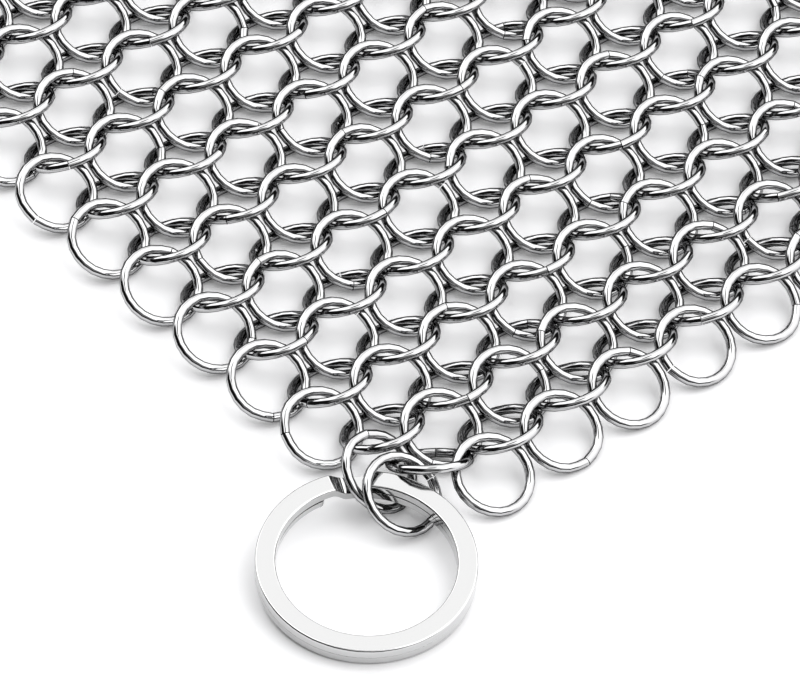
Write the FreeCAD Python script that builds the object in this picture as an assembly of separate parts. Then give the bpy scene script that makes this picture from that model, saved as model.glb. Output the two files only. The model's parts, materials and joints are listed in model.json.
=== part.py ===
"""Mail pot scrubber: rows of linked wire rings with a flat split ring hung in one corner.

Units are millimetres, +Z is up and the sheet lies on Z = 0. The rows run along X and follow one another along Y.
"""
import FreeCAD, Part
import math
import os

from FreeCAD import Placement, Rotation, Vector

# Mail ring, bent from round wire until its ends butt
RING_INNER_DIA = 9.45
WIRE_DIA = 1.35
SEAM_GAP = 0.13
SEAM_TURN = 137.5

# Weave: every ring links with two rings of the row before and two of the row after
ROWS = 25
RINGS_PER_ROW = 16
RING_TILT = 26.0
SIDE_PLAY = 0.35
LINK_PLAY = 0.228
EDGE_PUSH = 2.2
EDGE_REACH = 16.1

# Split ring, one flat strip wound twice round
KEY_OUTER_DIA = 30.0
STRIP_WIDTH = 2.8
STRIP_THICK = 1.4
TURN_GAP = 0.08
UPPER_END = 1.0
STEP_FOOT = 11.0
STEP_HEAD = 21.0
LOWER_END = 25.0
STEP_SECTIONS = 9
END_ROUND = 0.9
KEY_HEADING = 50.0
KEY_LIFT = 2.585
KEY_FAR_ALONG = -0.2112
KEY_FAR_ACROSS = 1.9670

# Corner rings, pulled out of the weave by the split ring: the row each belongs to, its centre along the rows in
# ring pitches, across them in row pitches and above the floor in ring radii, its lean from level and the heading
# that its upper face leans to. The far point of the split ring is given in the same pitches.
CORNER_RINGS = {
    "corner_ring_outer": (0, 0.0204, 1.2012, 0.6809, 32.24, -75.89),
    "corner_ring_middle": (1, 0.5470, 1.5363, 0.7341, 36.73, 57.51),
    "corner_ring_inner": (2, 0.0307, 2.0493, 0.7249, 36.22, -67.93),
}

WIRE_R = WIRE_DIA / 2
RING_R = RING_INNER_DIA / 2 + WIRE_R
RING_PITCH = RING_INNER_DIA + 2 * WIRE_DIA + SIDE_PLAY
TILT = math.radians(RING_TILT)
RING_Z = RING_R * math.sin(TILT) + WIRE_R
GAP_SAMPLES = 180
PITCH_TRIALS = 30


def tilted_ring(along, across, tilt):
    """Points on the centre line of a ring that is tilted about the row direction."""
    turns = [2 * math.pi * n / GAP_SAMPLES for n in range(GAP_SAMPLES)]
    return [
        Vector(
            along + RING_R * math.cos(t),
            across + RING_R * math.sin(t) * math.cos(tilt),
            RING_R * math.sin(t) * math.sin(tilt),
        )
        for t in turns
    ]


def link_gap(row_pitch):
    """Least gap between the wires of two linked rings in neighbouring rows."""
    first = tilted_ring(0, 0, TILT)
    second = tilted_ring(RING_PITCH / 2, row_pitch, -TILT)
    return min(a.distanceToPoint(b) for a in first for b in second) - WIRE_DIA


def solve_row_pitch():
    """Row pitch at which linked wires lie LINK_PLAY apart; the gap shrinks as the pitch grows."""
    low, high = RING_R / 2, 2 * RING_R
    for _ in range(PITCH_TRIALS):
        middle = (low + high) / 2
        if link_gap(middle) > LINK_PLAY:
            low = middle
        else:
            high = middle
    return low


ROW_PITCH = solve_row_pitch()


def row_across(row):
    """Where a row lies across the sheet; the rows at the near edge are pushed up against the next ones."""
    level = row * ROW_PITCH
    return level + EDGE_PUSH * math.exp(-((level / EDGE_REACH) ** 2))


def wire_ring(centre, normal, seam):
    """One butted ring of round wire, its slit turned by the seam angle in degrees."""
    sweep = 360 - math.degrees(SEAM_GAP / RING_R)
    ring = Part.makeTorus(RING_R, WIRE_R, Vector(0, 0, 0), Vector(0, 0, 1), -180, 180, sweep)
    turn = Rotation(Vector(0, 0, 1), normal).multiply(Rotation(Vector(0, 0, 1), seam))
    ring.Placement = Placement(centre, turn)
    return ring


def seam_angle(row, place):
    """Seams point every way, as in mail closed by hand or by machine."""
    return (row * RINGS_PER_ROW + place) * SEAM_TURN % 360


def ring_row(row):
    """All rings of one row that lie in the weave; a corner row's first ring is a piece of its own."""
    lean = TILT if row % 2 == 0 else -TILT
    normal = Vector(0, -math.sin(lean), math.cos(lean))
    shift = 0.5 * (row % 2)
    corner_rows = [values[0] for values in CORNER_RINGS.values()]
    first = 1 if row in corner_rows else 0
    rings = []
    for place in range(first, RINGS_PER_ROW - row % 2):
        centre = Vector((place + shift) * RING_PITCH, row_across(row), RING_Z)
        rings.append(wire_ring(centre, normal, seam_angle(row, place)))
    return Part.makeCompound(rings)


def corner_ring(row, along, across, height, lean, heading):
    """A corner ring at its own place and lean."""
    centre = Vector(along * RING_PITCH, across * ROW_PITCH, height * RING_R)
    tilt, turn = math.radians(lean), math.radians(heading)
    normal = Vector(
        math.sin(tilt) * math.cos(turn),
        math.sin(tilt) * math.sin(turn),
        math.cos(tilt),
    )
    return wire_ring(centre, normal, seam_angle(row, 0))


KEY_R = KEY_OUTER_DIA / 2
KEY_INNER_R = KEY_R - STRIP_WIDTH
KEY_MID_R = KEY_R - STRIP_WIDTH / 2
KEY_HALF = STRIP_THICK + TURN_GAP / 2
TURN_LEVEL = (STRIP_THICK + TURN_GAP) / 2
KEY_LEAN = math.degrees(math.asin(KEY_LIFT / KEY_OUTER_DIA))


def strip_section(angle, level):
    """The strip's rectangle at an angle round the split ring and a level along its axis."""
    out = Vector(math.cos(math.radians(angle)), math.sin(math.radians(angle)), 0)
    up = Vector(0, 0, STRIP_THICK / 2)
    middle = Vector(0, 0, level)
    corners = [
        out * KEY_INNER_R + middle - up,
        out * KEY_R + middle - up,
        out * KEY_R + middle + up,
        out * KEY_INNER_R + middle + up,
    ]
    return Part.makePolygon(corners + corners[:1])


def flat_turn(level, begin, end, free_end):
    """One flat turn of the strip from one angle round to another, rounded at the end that is free."""
    start = Part.Face(strip_section(begin, level))
    turn = start.revolve(Vector(0, 0, 0), Vector(0, 0, 1), 360 - begin + end)
    aim = Vector(math.cos(math.radians(free_end)), math.sin(math.radians(free_end)), 0)
    corners = []
    for edge in turn.Edges:
        ends = [vertex.Point for vertex in edge.Vertexes]
        upright = len(ends) == 2 and abs((ends[0] - ends[1]).z) > STRIP_THICK / 2
        if upright and ends[0].cross(aim).Length < STRIP_THICK / 10 and ends[0].dot(aim) > 0:
            corners.append(edge)
    return turn.makeFillet(END_ROUND, corners)


def step():
    """The stretch where the strip drops from the upper turn to the lower one."""
    sections = []
    for n in range(STEP_SECTIONS):
        share = n / (STEP_SECTIONS - 1)
        angle = STEP_HEAD + (STEP_FOOT - STEP_HEAD) * share
        sections.append(strip_section(angle, TURN_LEVEL * math.cos(math.pi * share)))
    return Part.makeLoft(sections, True, False)


def split_ring():
    """The wound strip, its far side resting up among the corner rings."""
    upper = flat_turn(TURN_LEVEL, STEP_HEAD, UPPER_END, UPPER_END)
    lower = flat_turn(-TURN_LEVEL, LOWER_END, STEP_FOOT, LOWER_END)
    ring = upper.fuse([step(), lower]).removeSplitter()
    ring.Placement = KEY_PLACE
    return ring


def key_place():
    """Placement of the split ring: local X points at its far side, which is lifted."""
    lean = math.radians(KEY_LEAN)
    far_point = Vector(KEY_FAR_ALONG * RING_PITCH, KEY_FAR_ACROSS * ROW_PITCH, 0)
    heading = Rotation(Vector(0, 0, 1), KEY_HEADING)
    back = heading.multVec(Vector(KEY_MID_R * math.cos(lean), 0, 0))
    height = KEY_R * math.sin(lean) + KEY_HALF * math.cos(lean)
    turn = heading.multiply(Rotation(Vector(0, 1, 0), -KEY_LEAN))
    return Placement(far_point - back + Vector(0, 0, height), turn)


KEY_PLACE = key_place()


def build():
    """Every node's shape by name."""
    nodes = {"ring_row_%02d" % (row + 1): ring_row(row) for row in range(ROWS)}
    for name, values in CORNER_RINGS.items():
        nodes[name] = corner_ring(*values)
    nodes["split_ring"] = split_ring()
    return nodes


def to_origin(nodes):
    """Shift that puts the origin under the middle of the whole object, on the floor."""
    boxes = [shape.optimalBoundingBox(False, False) for shape in nodes.values()]
    along = (min(box.XMin for box in boxes) + max(box.XMax for box in boxes)) / 2
    across = (min(box.YMin for box in boxes) + max(box.YMax for box in boxes)) / 2
    return Vector(-along, -across, 0)


def main():
    os.makedirs("parts", exist_ok=True)
    nodes = build()
    shift = to_origin(nodes)
    for name, shape in nodes.items():
        shape.translate(shift)
        shape.exportStep("parts/%s.step" % name)
        solids = len(shape.Solids)
        print("%s: %d solids, %.2f mm3, valid %s" % (name, solids, shape.Volume, shape.isValid()))
    for row in range(ROWS - 1):
        across = (row_across(row) + row_across(row + 1)) / 2
        print("hinge %d %.4f %.4f" % (row, across + shift.y, RING_Z))
    print("shift %.4f %.4f" % (shift.x, shift.y))


main()
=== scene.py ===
"""Mail pot scrubber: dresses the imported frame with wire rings, a wound split ring and a plain stage.

Every length is in metres. The rows of the weave run along X and follow one another along Y.
"""

import json
import math

import bmesh
import bpy
from bpy.props import FloatProperty, FloatVectorProperty, IntProperty, PointerProperty
from mathutils import Matrix, Quaternion, Vector


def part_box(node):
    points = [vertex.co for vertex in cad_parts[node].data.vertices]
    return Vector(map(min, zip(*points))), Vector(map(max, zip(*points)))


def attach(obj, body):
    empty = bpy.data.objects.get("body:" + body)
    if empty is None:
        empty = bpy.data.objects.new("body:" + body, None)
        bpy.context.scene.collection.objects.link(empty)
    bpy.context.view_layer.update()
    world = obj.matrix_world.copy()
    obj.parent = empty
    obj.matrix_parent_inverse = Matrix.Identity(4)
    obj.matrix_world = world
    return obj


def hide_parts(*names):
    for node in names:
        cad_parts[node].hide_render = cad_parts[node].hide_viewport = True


bl_info = {
    "name": "Mail Pot Scrubber",
    "version": (1, 0, 0),
    "blender": (4, 5, 0),
    "location": "3D View > Sidebar > Scrubber",
    "description": "Builds a mail pot scrubber with its split ring, and the stage that it lies on",
    "category": "Add Mesh",
}

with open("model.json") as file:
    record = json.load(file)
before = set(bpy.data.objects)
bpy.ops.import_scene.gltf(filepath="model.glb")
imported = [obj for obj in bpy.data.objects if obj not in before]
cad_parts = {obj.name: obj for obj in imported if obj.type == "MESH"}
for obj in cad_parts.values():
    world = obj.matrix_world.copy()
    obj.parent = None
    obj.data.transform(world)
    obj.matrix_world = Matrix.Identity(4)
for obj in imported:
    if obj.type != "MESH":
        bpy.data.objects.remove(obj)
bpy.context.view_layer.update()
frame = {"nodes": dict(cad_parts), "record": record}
SPLIT_EYE = frame["record"]["mounts"][0]

UP = Vector((0, 0, 1))

# Studio light round the object
PANEL = (2.42, 2.42, 2.42, 1)
LOW_PANEL = (1.8, 1.8, 1.8, 1)
SCREEN = (1.45, 1.45, 1.45, 1)
NEAR_SIDE = (0.25, 0.25, 0.25, 1)
DARK = (0.01, 0.01, 0.01, 1)

# Share by which the sections of a ring's cage beside its seam stand out
SEAM_PULL = 1.014

# Painted shade: the steel's colour darkens to the painted shade colour where less than the first share of
# the space round it is open, and keeps its own colour past the second
PAINTED_SHADE_LIMITS = (0.2, 0.6)
PAINTED_SHADE_SAMPLES = 6

# Patches of gloss are this many times as large as the grain, and fill most of their noise's range
PATCH_SIZE = 6
PATCH_LIMITS = (0.3, 0.7)
RELIEF_STRENGTH = 0.03
RELIEF_DEPTH = 0.00004

# Colour sockets of a Mix node: the two colours that it mixes, and its result
MIX_FIRST = 6
MIX_SECOND = 7
MIX_RESULT = 2

ROW_PREFIX = "ring_row_"

# Each corner ring's lean from level and the heading that its upper face leans to, in degrees, and its row
CORNER_RINGS = {
    "corner_ring_outer": (32.24, -75.89, 0),
    "corner_ring_middle": (36.73, 57.51, 1),
    "corner_ring_inner": (36.22, -67.93, 2),
}


class MailSizes(bpy.types.PropertyGroup):
    """Sizes of the wire rings and of the weave"""

    ring_radius: FloatProperty(
        name="Ring Radius",
        description="Radius of a ring along the middle of its wire",
        default=0.0054,
        subtype="DISTANCE",
        unit="LENGTH",
    )
    wire_radius: FloatProperty(
        name="Wire Radius",
        description="Half the gauge of the wire",
        default=0.000675,
        subtype="DISTANCE",
        unit="LENGTH",
    )
    ring_pitch: FloatProperty(
        name="Ring Pitch",
        description="Distance between neighbouring rings of a row",
        default=0.0125,
        subtype="DISTANCE",
        unit="LENGTH",
    )
    row_tilt: FloatProperty(
        name="Row Tilt",
        description="Tilt of the rings about their row; the rows lean by turns one way and the other",
        default=math.radians(26),
        subtype="ANGLE",
        unit="ROTATION",
    )
    rings_per_row: IntProperty(
        name="Rings per Row",
        description="Rings in a full row; the rows between have one ring less",
        default=16,
    )
    seam_gap: FloatProperty(
        name="Seam Gap",
        description="Width of the slit where the two ends of a ring butt",
        default=0.00013,
        subtype="DISTANCE",
        unit="LENGTH",
    )
    seam_turn: FloatProperty(
        name="Seam Turn",
        description="Turn of the seam from one ring to the next",
        default=math.radians(137.5),
        subtype="ANGLE",
        unit="ROTATION",
    )
    wire_sides: IntProperty(
        name="Wire Sides",
        description="Sides of the wire's cage",
        default=6,
    )
    ring_steps: IntProperty(
        name="Ring Steps",
        description="Steps of the cage round the ring",
        default=12,
    )


class SplitRingSizes(bpy.types.PropertyGroup):
    """Sizes of the strip that is wound twice round"""

    outer_radius: FloatProperty(
        name="Outer Radius",
        description="Radius of the split ring's outside",
        default=0.015,
        subtype="DISTANCE",
        unit="LENGTH",
    )
    strip_width: FloatProperty(
        name="Strip Width",
        description="Width of the strip, seen from above",
        default=0.0028,
        subtype="DISTANCE",
        unit="LENGTH",
    )
    turn_gap: FloatProperty(
        name="Turn Gap",
        description="Gap between the two turns where they lie close",
        default=0.00002,
        subtype="DISTANCE",
        unit="LENGTH",
    )
    spring_gap: FloatProperty(
        name="Spring Gap",
        description="How far each turn springs off the other one at its free end",
        default=0.0003,
        subtype="DISTANCE",
        unit="LENGTH",
    )
    total_height: FloatProperty(
        name="Total Height",
        description="Height of the two turns together",
        default=0.00288,
        subtype="DISTANCE",
        unit="LENGTH",
    )
    upper_end: FloatProperty(
        name="Upper End",
        description="Angle of the upper turn's free end, from the ring's far side",
        default=math.radians(1),
        subtype="ANGLE",
        unit="ROTATION",
    )
    step_foot: FloatProperty(
        name="Step Foot",
        description="Angle at which the step leaves the lower turn",
        default=math.radians(11),
        subtype="ANGLE",
        unit="ROTATION",
    )
    step_head: FloatProperty(
        name="Step Head",
        description="Angle at which the step joins the upper turn",
        default=math.radians(21),
        subtype="ANGLE",
        unit="ROTATION",
    )
    lower_end: FloatProperty(
        name="Lower End",
        description="Angle of the lower turn's free end",
        default=math.radians(25),
        subtype="ANGLE",
        unit="ROTATION",
    )
    end_round: FloatProperty(
        name="End Rounding",
        description="Radius of the corners at the strip's two free ends",
        default=0.0009,
        subtype="DISTANCE",
        unit="LENGTH",
    )
    edge_round: FloatProperty(
        name="Edge Rounding",
        description="Width of the rounding along the strip's outer edges",
        default=0.0003,
        subtype="DISTANCE",
        unit="LENGTH",
    )
    inner_share: FloatProperty(
        name="Inner Edge Share",
        description="Share of the edge rounding on the edges where the two turns lie together",
        default=0.08,
        min=0,
        max=1,
    )
    heading: FloatProperty(
        name="Heading",
        description="Direction from the middle of the split ring to its far side",
        default=math.radians(50),
        subtype="ANGLE",
        unit="ROTATION",
    )


class SteelLook(bpy.types.PropertyGroup):
    """Colours and gloss of the two steels"""

    mail_colour: FloatVectorProperty(
        name="Mail Colour",
        description="Colour of the drawn and tumbled wire",
        default=(0.52, 0.52, 0.525),
        subtype="COLOR",
        size=3,
        min=0,
        max=1,
    )
    mail_gloss: FloatVectorProperty(
        name="Mail Roughness",
        description="Least and greatest roughness of the wire",
        default=(0.02, 0.06),
        size=2,
        min=0,
        max=1,
    )
    split_colour: FloatVectorProperty(
        name="Split Ring Colour",
        description="Colour of the split ring's polished strip",
        default=(0.62, 0.62, 0.62),
        subtype="COLOR",
        size=3,
        min=0,
        max=1,
    )
    split_gloss: FloatVectorProperty(
        name="Split Ring Roughness",
        description="Least and greatest roughness of the strip",
        default=(0.06, 0.12),
        size=2,
        min=0,
        max=1,
    )
    mail_grain: FloatProperty(
        name="Mail Grain",
        description="Grains of the wire's tumbled surface in one metre",
        default=2400,
        min=0,
    )
    split_grain: FloatProperty(
        name="Split Ring Grain",
        description="Grains of the strip's polished surface in one metre",
        default=5200,
        min=0,
    )
    # Painted shade: the wire's colour darkens where other wires lie within this reach
    mail_shade_reach: FloatProperty(
        name="Mail Crowding",
        description="How near other wires must lie to keep the wire dull",
        default=0.006,
        subtype="DISTANCE",
        unit="LENGTH",
    )
    # Painted shade: the strip's colour darkens where other steel lies within this reach
    split_shade_reach: FloatProperty(
        name="Split Ring Crowding",
        description="How near other steel must lie to keep the strip dull",
        default=0.0012,
        subtype="DISTANCE",
        unit="LENGTH",
    )
    # Painted shade: the colour that the steel darkens to in the crevices between rings, standing in for
    # their shade
    painted_shade_colour: FloatVectorProperty(
        name="Dull Colour",
        description="Colour of the steel deep between rings, where nothing rubs it bright",
        default=(0.05, 0.05, 0.05),
        subtype="COLOR",
        size=3,
        min=0,
        max=1,
    )
    edge_tint: FloatProperty(
        name="Edge Tint",
        description="How bright drawn wire stays where it is seen at a low angle",
        default=0.05,
        min=0,
        max=1,
    )


class StageLook(bpy.types.PropertyGroup):
    """Floor, light and camera"""

    floor_colour: FloatVectorProperty(
        name="Floor Colour",
        description="Colour of the floor",
        default=(0.94, 0.94, 0.95),
        subtype="COLOR",
        size=3,
        min=0,
        max=1,
    )
    floor_glow: FloatProperty(
        name="Floor Glow",
        description="Light added to the floor where it is seen, which makes the open floor white",
        default=0.12,
        min=0,
        max=1,
    )
    floor_size: FloatProperty(
        name="Floor Size",
        description="Half the side of the floor",
        default=3,
        subtype="DISTANCE",
        unit="LENGTH",
    )
    camera_lens: FloatProperty(
        name="Lens",
        description="Focal length of the camera, in millimetres",
        default=292.5,
        subtype="DISTANCE_CAMERA",
    )
    camera_distance: FloatProperty(
        name="Camera Distance",
        description="Distance from the camera to the point it looks at",
        default=0.9018,
        subtype="DISTANCE",
        unit="LENGTH",
    )
    camera_azimuth: FloatProperty(
        name="Camera Azimuth",
        description="Turn of the camera round the object; zero looks along +Y",
        default=math.radians(-43.53),
        subtype="ANGLE",
        unit="ROTATION",
    )
    camera_elevation: FloatProperty(
        name="Camera Elevation",
        description="Height of the camera above the horizon",
        default=math.radians(47.38),
        subtype="ANGLE",
        unit="ROTATION",
    )
    camera_roll: FloatProperty(
        name="Camera Roll",
        description="Turn of the camera about its own view",
        default=math.radians(3.23),
        subtype="ANGLE",
        unit="ROTATION",
    )
    camera_target: FloatVectorProperty(
        name="Camera Target",
        description="Point on the floor that the camera looks at",
        default=(-0.06236, -0.03351, 0),
        subtype="TRANSLATION",
        unit="LENGTH",
        size=3,
    )


def body_of(node):
    """Name of the body that carries a node."""
    bodies = frame["record"]["behaviour"]["bodies"]
    return next(body for body, nodes in bodies.items() if node in nodes)


def node_middle(node):
    """Middle of a node's box."""
    low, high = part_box(node)
    return (low + high) / 2


def finished_piece(mesh, name, node, material):
    """Turn a bmesh into a piece that rides on the node's body and stands for the node."""
    for face in mesh.faces:
        face.smooth = True
    data = bpy.data.meshes.new(name)
    mesh.to_mesh(data)
    mesh.free()
    data.materials.append(material)
    piece = bpy.data.objects.new(name, data)
    bpy.context.scene.collection.objects.link(piece)
    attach(piece, body_of(node))
    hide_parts(node)
    return piece


def close_ends(mesh):
    """Fill the open ends of a spun shape and turn its faces outwards."""
    rims = [edge for edge in mesh.edges if edge.is_boundary]
    if rims:
        bmesh.ops.holes_fill(mesh, edges=rims, sides=0)
    bmesh.ops.recalc_face_normals(mesh, faces=mesh.faces[:])


def smooth_share(corner):
    """Share of a polygon's radius that smoothing leaves, from the angle between two of its corners."""
    return (2 + math.cos(corner)) / 3


def ring_cage(sizes):
    """Cage of one butted ring round the Z axis, its seam at the X axis.

    Smoothing draws a cage in, to a known share of its radius, so the cage is that much larger.
    The creased ends stay where they are along the ring, so they keep its real radius, and the
    sections beside them are pulled out, because smoothing flattens the wire there. One level of
    smoothing halves each step, and its chords run as far inside the circle as their ends lie outside.
    """
    sweep = 2 * math.pi - sizes.seam_gap / sizes.ring_radius
    step = sweep / sizes.ring_steps
    radius = sizes.ring_radius * 2 / (1 + math.cos(step / 4))
    ring_share = smooth_share(step)
    wire_share = smooth_share(2 * math.pi / sizes.wire_sides)
    mesh = bmesh.new()
    crease = mesh.edges.layers.float.new("crease_edge")
    upright = Matrix.Rotation(math.pi / 2, 4, "X")
    bmesh.ops.create_circle(
        mesh,
        segments=sizes.wire_sides,
        radius=sizes.wire_radius / wire_share,
        matrix=Matrix.Translation((radius, 0, 0)) @ upright,
    )
    bmesh.ops.spin(
        mesh,
        geom=mesh.verts[:] + mesh.edges[:],
        axis=UP,
        cent=(0, 0, 0),
        angle=sweep,
        steps=sizes.ring_steps,
    )
    rims = [edge for edge in mesh.edges if edge.is_boundary]
    for edge in rims:
        edge[crease] = 1
        edge.smooth = False
    ends = {vert for edge in rims for vert in edge.verts}
    between = [vert for vert in mesh.verts if vert not in ends]
    bmesh.ops.scale(mesh, vec=(1 / ring_share, 1 / ring_share, 1), verts=between)
    beside = {edge.other_vert(vert) for vert in ends for edge in vert.link_edges} - ends
    bmesh.ops.scale(mesh, vec=(SEAM_PULL, SEAM_PULL, 1), verts=list(beside))
    close_ends(mesh)
    cage = bpy.data.meshes.new("ring_cage")
    mesh.to_mesh(cage)
    mesh.free()
    return cage


def add_ring(mesh, cage, centre, normal, seam):
    """Add one ring to a row, its seam turned by an angle about the ring's own axis."""
    before = len(mesh.verts)
    mesh.from_mesh(cage)
    mesh.verts.ensure_lookup_table()
    turn = UP.rotation_difference(normal) @ Quaternion(UP, seam)
    place = Matrix.Translation(centre) @ turn.to_matrix().to_4x4()
    bmesh.ops.transform(mesh, matrix=place, verts=mesh.verts[before:])


def smooth_wire(piece):
    """Round the wire with one level of subdivision."""
    rounding = piece.modifiers.new("round_wire", "SUBSURF")
    rounding.levels = 1
    rounding.render_levels = 1


def steel(name, look, colour, gloss, grain, reach):
    """Polished steel with a fine tumbled grain, whose gloss wanders in faint patches.

    Within its reach of other wires, ambient occlusion darkens the base colour towards a painted shade
    colour: painted shade in the crevices.
    """
    material = bpy.data.materials.new(name)
    material.use_nodes = True
    nodes, links = material.node_tree.nodes, material.node_tree.links
    shader = nodes["Principled BSDF"]
    shader.inputs["Metallic"].default_value = 1
    # Painted shade: ambient occlusion darkens the base colour towards the painted shade colour where
    # other steel lies near
    occlusion = nodes.new("ShaderNodeAmbientOcclusion")
    occlusion.samples = PAINTED_SHADE_SAMPLES
    occlusion.inputs["Distance"].default_value = reach
    unshaded_share = nodes.new("ShaderNodeMapRange")
    unshaded_share.inputs["From Min"].default_value = PAINTED_SHADE_LIMITS[0]
    unshaded_share.inputs["From Max"].default_value = PAINTED_SHADE_LIMITS[1]
    shade = nodes.new("ShaderNodeMix")
    shade.data_type = "RGBA"
    shade.inputs[MIX_FIRST].default_value = (*look.painted_shade_colour, 1)
    shade.inputs[MIX_SECOND].default_value = (*colour, 1)
    links.new(occlusion.outputs["AO"], unshaded_share.inputs["Value"])
    links.new(unshaded_share.outputs["Result"], shade.inputs["Factor"])
    links.new(shade.outputs[MIX_RESULT], shader.inputs["Base Color"])
    where = nodes.new("ShaderNodeTexCoord")
    patches = nodes.new("ShaderNodeTexNoise")
    patches.inputs["Scale"].default_value = grain / PATCH_SIZE
    patches.inputs["Detail"].default_value = 4
    spread = nodes.new("ShaderNodeMapRange")
    spread.inputs["From Min"].default_value = PATCH_LIMITS[0]
    spread.inputs["From Max"].default_value = PATCH_LIMITS[1]
    spread.inputs["To Min"].default_value = gloss[0]
    spread.inputs["To Max"].default_value = gloss[1]
    tumbling = nodes.new("ShaderNodeTexNoise")
    tumbling.inputs["Scale"].default_value = grain
    tumbling.inputs["Detail"].default_value = 3
    relief = nodes.new("ShaderNodeBump")
    relief.inputs["Strength"].default_value = RELIEF_STRENGTH
    relief.inputs["Distance"].default_value = RELIEF_DEPTH
    links.new(where.outputs["Object"], patches.inputs["Vector"])
    links.new(where.outputs["Object"], tumbling.inputs["Vector"])
    links.new(patches.outputs["Fac"], spread.inputs["Value"])
    links.new(spread.outputs["Result"], shader.inputs["Roughness"])
    links.new(tumbling.outputs["Fac"], relief.inputs["Height"])
    links.new(relief.outputs["Normal"], shader.inputs["Normal"])
    return material


def mail_steel(look):
    """Steel of the wire rings, made once; drawn wire darkens towards its edges."""
    made = bpy.data.materials.get("polished_wire")
    if made:
        return made
    material = steel(
        "polished_wire",
        look,
        look.mail_colour,
        look.mail_gloss,
        look.mail_grain,
        look.mail_shade_reach,
    )
    edge = (look.edge_tint, look.edge_tint, look.edge_tint, 1)
    material.node_tree.nodes["Principled BSDF"].inputs["Specular Tint"].default_value = edge
    return material


class SCRUBBER_OT_ring_rows(bpy.types.Operator):
    """Rows of linked wire rings, one piece for each row"""

    bl_idname = "scrubber.ring_rows"
    bl_label = "Ring Rows"

    def execute(self, context):
        sizes = context.scene.scrubber_mail
        material = mail_steel(context.scene.scrubber_steel)
        cage = ring_cage(sizes)
        rows = sorted(node for node in frame["nodes"] if node.startswith(ROW_PREFIX))
        for row, node in enumerate(rows):
            self.row_piece(sizes, material, cage, row, node)
        bpy.data.meshes.remove(cage)
        return {"FINISHED"}

    def row_piece(self, sizes, material, cage, row, node):
        """One row; a corner row starts at its second place."""
        low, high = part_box(node)
        reach = sizes.ring_radius + sizes.wire_radius
        count = round((high.x - low.x - 2 * reach) / sizes.ring_pitch) + 1
        first = sizes.rings_per_row - row % 2 - count
        tilt = sizes.row_tilt if row % 2 == 0 else -sizes.row_tilt
        normal = Vector((0, -math.sin(tilt), math.cos(tilt)))
        middle = (low + high) / 2
        mesh = bmesh.new()
        for place in range(count):
            along = low.x + reach + place * sizes.ring_pitch
            seam = (row * sizes.rings_per_row + first + place) * sizes.seam_turn
            add_ring(mesh, cage, Vector((along, middle.y, middle.z)), normal, seam)
        smooth_wire(finished_piece(mesh, "wire_" + node, node, material))


class SCRUBBER_OT_corner_rings(bpy.types.Operator):
    """The rings that the split ring pulls out of the weave"""

    bl_idname = "scrubber.corner_rings"
    bl_label = "Corner Rings"

    def execute(self, context):
        sizes = context.scene.scrubber_mail
        material = mail_steel(context.scene.scrubber_steel)
        cage = ring_cage(sizes)
        for node, (lean, heading, row) in CORNER_RINGS.items():
            tilt, turn = math.radians(lean), math.radians(heading)
            normal = Vector((
                math.sin(tilt) * math.cos(turn),
                math.sin(tilt) * math.sin(turn),
                math.cos(tilt),
            ))
            mesh = bmesh.new()
            seam = row * sizes.rings_per_row * sizes.seam_turn
            add_ring(mesh, cage, node_middle(node), normal, seam)
            smooth_wire(finished_piece(mesh, "wire_" + node, node, material))
        bpy.data.meshes.remove(cage)
        return {"FINISHED"}


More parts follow.
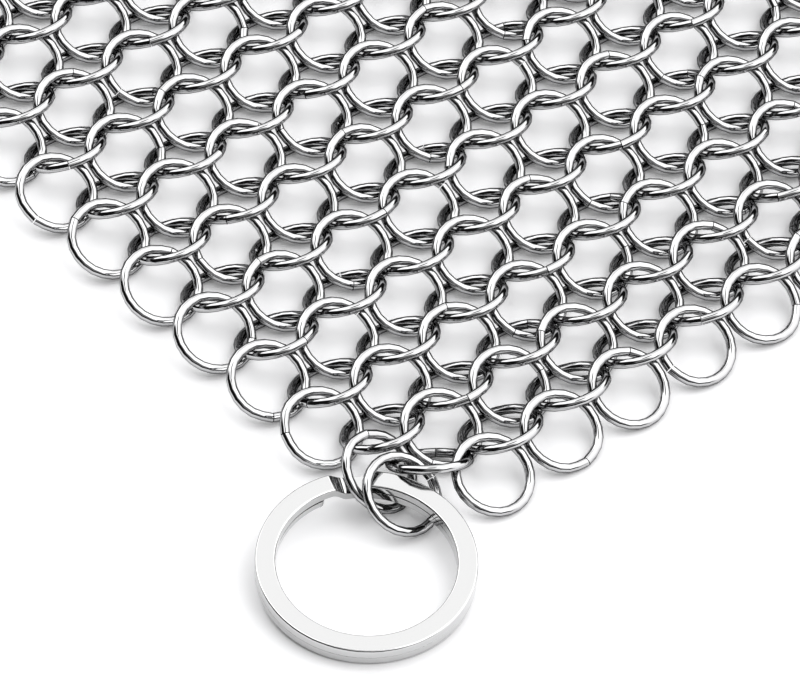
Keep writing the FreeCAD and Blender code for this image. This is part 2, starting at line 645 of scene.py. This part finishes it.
class SCRUBBER_OT_split_ring(bpy.types.Operator):
    """The strip wound into two flat turns, with its step and its two rounded ends"""

    bl_idname = "scrubber.split_ring"
    bl_label = "Split Ring"

    turn_steps = 84
    step_steps = 10
    end_segments = 4
    edge_segments = 3
    upright_limit = 0.1
    area_tolerance = 0.02
    sharp = math.radians(40)
    spring_reach = math.radians(130)

    def execute(self, context):
        sizes = context.scene.scrubber_split
        look = context.scene.scrubber_steel
        material = steel(
            "polished_strip",
            look,
            look.split_colour,
            look.split_gloss,
            look.split_grain,
            look.split_shade_reach,
        )
        mesh = self.wound_strip(sizes)
        axis = Vector(SPLIT_EYE["axis"])
        far = Vector((math.cos(sizes.heading), math.sin(sizes.heading), 0))
        far = (far - axis * far.dot(axis)).normalized()
        turn = Matrix((far, axis.cross(far), axis)).transposed().to_4x4()
        place = Matrix.Translation(Vector(SPLIT_EYE["pos_m"])) @ turn
        bmesh.ops.transform(mesh, matrix=place, verts=mesh.verts[:])
        piece = finished_piece(mesh, "wound_split_ring", "split_ring", material)
        rounding = piece.modifiers.new("broken_edges", "BEVEL")
        rounding.width = sizes.edge_round
        rounding.segments = self.edge_segments
        rounding.use_clamp_overlap = False
        rounding.limit_method = "WEIGHT"
        rounding.harden_normals = True
        return {"FINISHED"}

    def wound_strip(self, sizes):
        """Lower turn, step and upper turn, spun one after the other from one section."""
        thick = (sizes.total_height - sizes.turn_gap) / 2
        level = (thick + sizes.turn_gap) / 2
        middle = sizes.outer_radius - sizes.strip_width / 2
        mesh = bmesh.new()
        section = (
            Matrix.Rotation(sizes.lower_end, 4, "Z")
            @ Matrix.Translation((middle, 0, -level))
            @ Matrix.Rotation(math.pi / 2, 4, "X")
            @ Matrix.Diagonal((sizes.strip_width, thick, 1, 1))
        )
        bmesh.ops.create_grid(mesh, x_segments=1, y_segments=1, size=0.5, matrix=section)
        bmesh.ops.delete(mesh, geom=mesh.faces[:], context="FACES_ONLY")
        lower = 2 * math.pi - sizes.lower_end + sizes.step_foot
        upper = 2 * math.pi - sizes.step_head + sizes.upper_end
        last = self.spun(mesh, mesh.verts[:] + mesh.edges[:], lower, self.turn_steps)
        part = (sizes.step_head - sizes.step_foot) / self.step_steps
        for n in range(self.step_steps):
            last = self.spun(mesh, last, part, 1)
            rise = math.cos(math.pi * n / self.step_steps)
            rise -= math.cos(math.pi * (n + 1) / self.step_steps)
            moved = [item for item in last if isinstance(item, bmesh.types.BMVert)]
            bmesh.ops.translate(mesh, vec=UP * level * rise, verts=moved)
        self.spun(mesh, last, upper, self.turn_steps)
        close_ends(mesh)
        self.round_ends(mesh, sizes, thick)
        self.weigh_edges(mesh, sizes, thick)
        self.spring_open(mesh, sizes, thick)
        return mesh

    def spun(self, mesh, geometry, angle, steps):
        """Spin a section on round the axis and give back the last one."""
        made = bmesh.ops.spin(mesh, geom=geometry, axis=UP, cent=(0, 0, 0), angle=angle, steps=steps)
        return made["geom_last"]

    def round_ends(self, mesh, sizes, thick):
        """Round the upright corners of the two free ends."""
        area = sizes.strip_width * thick
        ends = [
            face
            for face in mesh.faces
            if abs(face.normal.z) < self.upright_limit
            and abs(face.calc_area() / area - 1) < self.area_tolerance
        ]
        upright = [
            edge
            for face in ends
            for edge in face.edges
            if abs((edge.verts[0].co - edge.verts[1].co).z) > thick / 2
        ]
        bmesh.ops.bevel(
            mesh,
            geom=upright,
            offset=sizes.end_round,
            offset_type="OFFSET",
            affect="EDGES",
            segments=self.end_segments,
            profile=0.5,
            material=-1,
        )

    def weigh_edges(self, mesh, sizes, thick):
        """Mark how far each sharp edge is rounded; the edges in the gap between the turns hardly are."""
        weight = mesh.edges.layers.float.new("bevel_weight_edge")
        for edge in mesh.edges:
            if edge.calc_face_angle(0) > self.sharp:
                heights = [abs(vert.co.z) for vert in edge.verts]
                edge[weight] = sizes.inner_share if max(heights) < thick / 2 else 1

    def spring_open(self, mesh, sizes, thick):
        """Open the gap between the turns towards each turn's free end."""
        for vert in mesh.verts:
            angle = math.atan2(vert.co.y, vert.co.x) % (2 * math.pi)
            on_step = sizes.step_foot < angle < sizes.step_head
            if abs(vert.co.z) > thick / 2 or on_step:
                continue
            if angle <= sizes.step_foot:
                angle += 2 * math.pi
            if vert.co.z > 0:
                to_end = 2 * math.pi + sizes.upper_end - angle
            else:
                to_end = angle - sizes.lower_end
            share = max(0, 1 - to_end / self.spring_reach)
            vert.co.z += math.copysign(sizes.spring_gap * share * share, vert.co.z)


class SCRUBBER_OT_stage(bpy.types.Operator):
    """Pale floor, soft light and the camera"""

    bl_idname = "scrubber.stage"
    bl_label = "Stage"

    def execute(self, context):
        look = context.scene.scrubber_stage
        self.floor(look)
        self.world(context.scene, look)
        self.camera(context.scene, look)
        context.scene.view_settings.view_transform = "Standard"
        return {"FINISHED"}

    def floor(self, look):
        """A wide floor under the sheet."""
        mesh = bmesh.new()
        bmesh.ops.create_grid(mesh, x_segments=1, y_segments=1, size=look.floor_size)
        data = bpy.data.meshes.new("floor")
        mesh.to_mesh(data)
        mesh.free()
        data.materials.append(self.floor_paint(look))
        floor = bpy.data.objects.new("floor", data)
        bpy.context.scene.collection.objects.link(floor)

    def floor_paint(self, look):
        """Matt paint that keeps the shadow, with a glow where the floor is seen or mirrored."""
        material = bpy.data.materials.new("floor_paint")
        material.use_nodes = True
        nodes, links = material.node_tree.nodes, material.node_tree.links
        shader = nodes["Principled BSDF"]
        shader.inputs["Base Color"].default_value = (*look.floor_colour, 1)
        shader.inputs["Roughness"].default_value = 0.9
        shader.inputs["Specular IOR Level"].default_value = 0.1
        path = nodes.new("ShaderNodeLightPath")
        seen = nodes.new("ShaderNodeMath")
        seen.operation = "MAXIMUM"
        glow = nodes.new("ShaderNodeMath")
        glow.operation = "MULTIPLY"
        glow.inputs[1].default_value = look.floor_glow
        shader.inputs["Emission Color"].default_value = (1, 1, 1, 1)
        links.new(path.outputs["Is Camera Ray"], seen.inputs[0])
        links.new(path.outputs["Is Glossy Ray"], seen.inputs[1])
        links.new(seen.outputs["Value"], glow.inputs[0])
        links.new(glow.outputs["Value"], shader.inputs["Emission Strength"])
        return material

    def world(self, scene, look):
        """White panels all round and overhead, with dark gaps at the zenith, the horizon and one side.

        Polished wire and rounded edges show the dark parts as thin lines. The camera's own side is
        dim, and a grey screen stands where the split ring's flat face mirrors it.
        """
        world = bpy.data.worlds.new("studio")
        world.use_nodes = True
        scene.world = world
        nodes, links = world.node_tree.nodes, world.node_tree.links
        where = nodes.new("ShaderNodeTexCoord").outputs["Generated"]
        near = Vector((math.sin(look.camera_azimuth), -math.cos(look.camera_azimuth), 0))
        right = near.cross(-UP)
        # Direction, the cosines at which the colour begins and is full, and the colour
        regions = (
            (near - right * 0.35 + UP * 0.3, 0.4, 0.7, NEAR_SIDE),
            (UP, 0.975, 0.99, DARK),
            (UP * 1.08 - near, 0.9, 0.96, SCREEN),
            (-UP, -0.46, -0.36, DARK),
            (right + UP * 0.3, 0.85, 0.95, LOW_PANEL),
            (near * 0.6 - right + UP * 0.6, 0.7, 0.85, DARK),
        )
        sky = PANEL
        for aim, far, close, colour in regions:
            sky = self.region(world.node_tree, where, aim.normalized(), far, close, sky, colour)
        light = nodes["Background"]
        links.new(sky, light.inputs["Color"])
        backdrop = nodes.new("ShaderNodeBackground")
        backdrop.inputs["Color"].default_value = (1, 1, 1, 1)
        path = nodes.new("ShaderNodeLightPath")
        mix = nodes.new("ShaderNodeMixShader")
        links.new(path.outputs["Is Camera Ray"], mix.inputs["Fac"])
        links.new(light.outputs["Background"], mix.inputs[1])
        links.new(backdrop.outputs["Background"], mix.inputs[2])
        links.new(mix.outputs["Shader"], nodes["World Output"].inputs["Surface"])

    def region(self, tree, where, aim, far, close, outside, inside):
        """Colour that changes from outside to inside where the view turns towards a direction."""
        facing = tree.nodes.new("ShaderNodeVectorMath")
        facing.operation = "DOT_PRODUCT"
        facing.inputs[1].default_value = aim
        tree.links.new(where, facing.inputs[0])
        share = tree.nodes.new("ShaderNodeMapRange")
        share.interpolation_type = "SMOOTHSTEP"
        share.inputs["From Min"].default_value = far
        share.inputs["From Max"].default_value = close
        tree.links.new(facing.outputs["Value"], share.inputs["Value"])
        mix = tree.nodes.new("ShaderNodeMix")
        mix.data_type = "RGBA"
        tree.links.new(share.outputs["Result"], mix.inputs["Factor"])
        if isinstance(outside, tuple):
            mix.inputs[MIX_FIRST].default_value = outside
        else:
            tree.links.new(outside, mix.inputs[MIX_FIRST])
        mix.inputs[MIX_SECOND].default_value = inside
        return mix.outputs[MIX_RESULT]

    def camera(self, scene, look):
        """The photograph's point of view."""
        data = bpy.data.cameras.new("camera")
        data.sensor_fit = "HORIZONTAL"
        data.lens = look.camera_lens
        data.clip_start = 0.01
        data.clip_end = 50
        camera = bpy.data.objects.new("camera", data)
        level = math.cos(look.camera_elevation)
        back = Vector((
            math.sin(look.camera_azimuth) * level,
            -math.cos(look.camera_azimuth) * level,
            math.sin(look.camera_elevation),
        ))
        camera.location = Vector(look.camera_target) + back * look.camera_distance
        camera.rotation_mode = "QUATERNION"
        aim = (-back).to_track_quat("-Z", "Y")
        camera.rotation_quaternion = aim @ Quaternion(UP, look.camera_roll)
        scene.collection.objects.link(camera)
        scene.camera = camera


class SCRUBBER_PT_panel(bpy.types.Panel):
    """Sizes, looks and operators of the scrubber"""

    bl_idname = "SCRUBBER_PT_panel"
    bl_label = "Mail Pot Scrubber"
    bl_space_type = "VIEW_3D"
    bl_region_type = "UI"
    bl_category = "Scrubber"

    def draw(self, context):
        for operator in OPERATORS:
            self.layout.operator(operator.bl_idname)
        for holder in GROUPS:
            group = getattr(context.scene, holder)
            box = self.layout.box()
            for name in group.__annotations__:
                box.prop(group, name)


GROUPS = {
    "scrubber_mail": MailSizes,
    "scrubber_split": SplitRingSizes,
    "scrubber_steel": SteelLook,
    "scrubber_stage": StageLook,
}
OPERATORS = (
    SCRUBBER_OT_ring_rows,
    SCRUBBER_OT_corner_rings,
    SCRUBBER_OT_split_ring,
    SCRUBBER_OT_stage,
)


def register():
    for holder, group in GROUPS.items():
        bpy.utils.register_class(group)
        setattr(bpy.types.Scene, holder, PointerProperty(type=group))
    for operator in OPERATORS:
        bpy.utils.register_class(operator)
    bpy.utils.register_class(SCRUBBER_PT_panel)


def unregister():
    bpy.utils.unregister_class(SCRUBBER_PT_panel)
    for operator in reversed(OPERATORS):
        bpy.utils.unregister_class(operator)
    for holder, group in reversed(GROUPS.items()):
        delattr(bpy.types.Scene, holder)
        bpy.utils.unregister_class(group)


def main():
    register()
    bpy.ops.scrubber.ring_rows()
    bpy.ops.scrubber.corner_rings()
    bpy.ops.scrubber.split_ring()
    bpy.ops.scrubber.stage()


if __name__ == "__main__":
    main()
